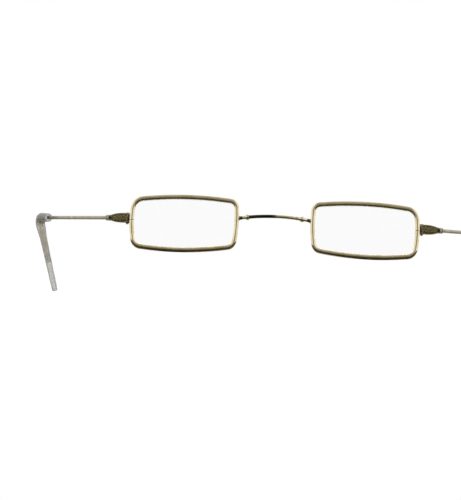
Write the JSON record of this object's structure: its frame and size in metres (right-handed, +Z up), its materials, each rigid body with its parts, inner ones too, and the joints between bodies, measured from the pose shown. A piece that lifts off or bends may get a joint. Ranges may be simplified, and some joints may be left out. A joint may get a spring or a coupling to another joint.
{
  "type": "costume glasses",
  "caption": "Small bowed rectangular wire-rimmed costume glasses with a thin arched bridge, clear lenses, leaf-shaped folding temples and soft plastic ear sleeves.",
  "frame": {"origin": "on the table under the middle of the open glasses, which stand on the bottoms of both rims and the tips of both ear sleeves", "axes": "+X to the wearer's left, -Y forward through the lenses, +Z up; the lens plane and the hinge axes are vertical"},
  "size_m": [0.1916, 0.1108, 0.0295],
  "materials": {
    "gold_plate": "polished thin gold plate",
    "antique_gold": "dark antiqued, and coarsely engraved on the leaves",
    "screw_metal": "gold-tinted small screws",
    "clear_lens": "clear, polished",
    "sleeve_vinyl": "soft translucent grey-brown sleeve, slightly cloudy"
  },
  "bodies": {
    "front": {"bridge": "gold_plate", "rim_right": "gold_plate", "lens_right": "clear_lens", "bridge_collar_right": "gold_plate", "endpiece_right": "antique_gold", "lock_block_right": "gold_plate", "lock_screw_right": "screw_metal", "front_hinge_right": "antique_gold", "hinge_screw_right": "screw_metal", "rim_left": "gold_plate", "lens_left": "clear_lens", "bridge_collar_left": "gold_plate", "endpiece_left": "antique_gold", "lock_block_left": "gold_plate", "lock_screw_left": "screw_metal", "front_hinge_left": "antique_gold", "hinge_screw_left": "screw_metal"},
    "temple_right": {"temple_hinge_right": "antique_gold", "temple_leaf_right": "antique_gold", "temple_collar_right": "gold_plate", "temple_wire_right": "gold_plate", "ear_sleeve_right": "sleeve_vinyl"},
    "temple_left": {"temple_hinge_left": "antique_gold", "temple_leaf_left": "antique_gold", "temple_collar_left": "gold_plate", "temple_wire_left": "gold_plate", "ear_sleeve_left": "sleeve_vinyl"}
  },
  "joints": [
    {"name": "temple_right_fold", "type": "hinge", "parent": "front", "child": "temple_right", "pos_m": [-0.05455, -0.04324, 0.0135], "axis": [0, 0, -1], "range_deg": [0, 108]},
    {"name": "temple_left_fold", "type": "hinge", "parent": "front", "child": "temple_left", "pos_m": [0.05455, -0.04324, 0.0135], "axis": [0, 0, 1], "range_deg": [0, 112]}
  ]
}
